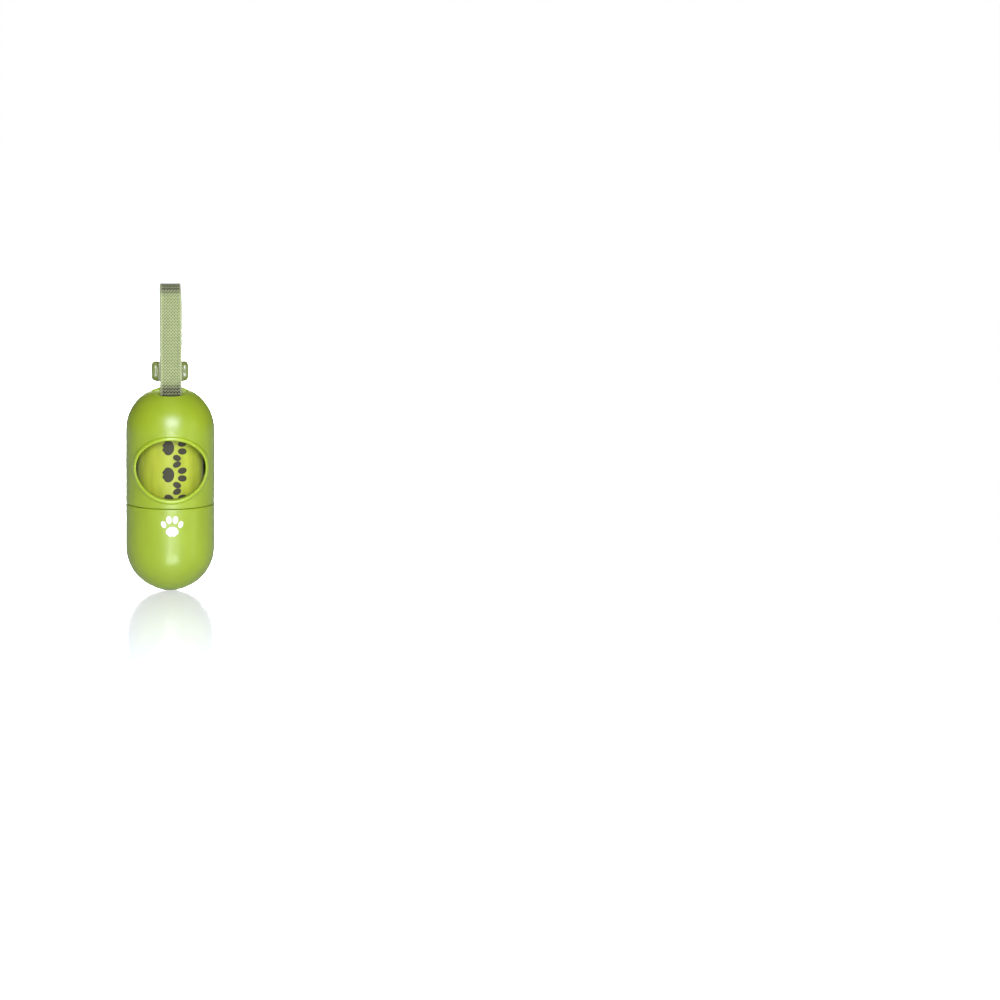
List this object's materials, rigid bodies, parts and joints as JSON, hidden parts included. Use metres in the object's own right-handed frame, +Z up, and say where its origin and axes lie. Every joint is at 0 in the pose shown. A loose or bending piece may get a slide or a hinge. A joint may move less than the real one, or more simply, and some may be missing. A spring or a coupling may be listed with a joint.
{
  "type": "dog waste bag dispenser",
  "caption": "Capsule dispenser for a roll of dog waste bags: beaded oval window, unscrewing lower shell, strap loop with slider.",
  "frame": {"origin": "inside top of the strap loop's fold, at the middle of the webbing's width, where the loop hangs", "axes": "+Z up along the strap, -Y towards the window, +X to the right as seen from the window side"},
  "size_m": [0.039, 0.0399, 0.1362],
  "materials": {
    "webbing": "woven, pale sage green",
    "thread": "twisted polyester thread",
    "slider_plastic": "moulded, glossy",
    "shell_plastic": "moulded, satin to gloss, lime green",
    "core_card": "bare spiral-wound card",
    "bag_film": "thin film wound tight, soft sheen"
  },
  "bodies": {
    "strap": {"strap_loop": "webbing", "strap_rear_ply": "webbing"},
    "slider": {"strap_slider": "slider_plastic", "strap_sewn_end": "webbing", "bartack_thread": "thread"},
    "capsule": {"upper_shell": "shell_plastic"},
    "roll_carrier": {"roll_core": "core_card"},
    "roll": {"bag_roll": "bag_film"},
    "cap": {"lower_shell": "shell_plastic"}
  },
  "joints": [
    {"name": "capsule_swing", "type": "hinge", "parent": "strap", "child": "capsule", "pos_m": [0, -0.00075, -0.0467], "axis": [1, 0, 0], "range_deg": [-60, 30]},
    {"name": "slider_slide", "type": "slide", "parent": "strap", "child": "slider", "axis": [0, 0, 1], "range_m": [0, 0.012], "deforming": ["strap_rear_ply"]},
    {"name": "cap_pull", "type": "slide", "parent": "capsule", "child": "roll_carrier", "axis": [0, 0, -1], "range_m": [0, 0.05]},
    {"name": "cap_twist", "type": "hinge", "parent": "roll_carrier", "child": "cap", "pos_m": [0, -0.00075, -0.1], "axis": [0, 0, -1], "range_deg": [0, 540]},
    {"name": "roll_spin", "type": "hinge", "parent": "roll_carrier", "child": "roll", "pos_m": [0, -0.00075, -0.09], "axis": [0, 0, 1], "continuous": true}
  ]
}
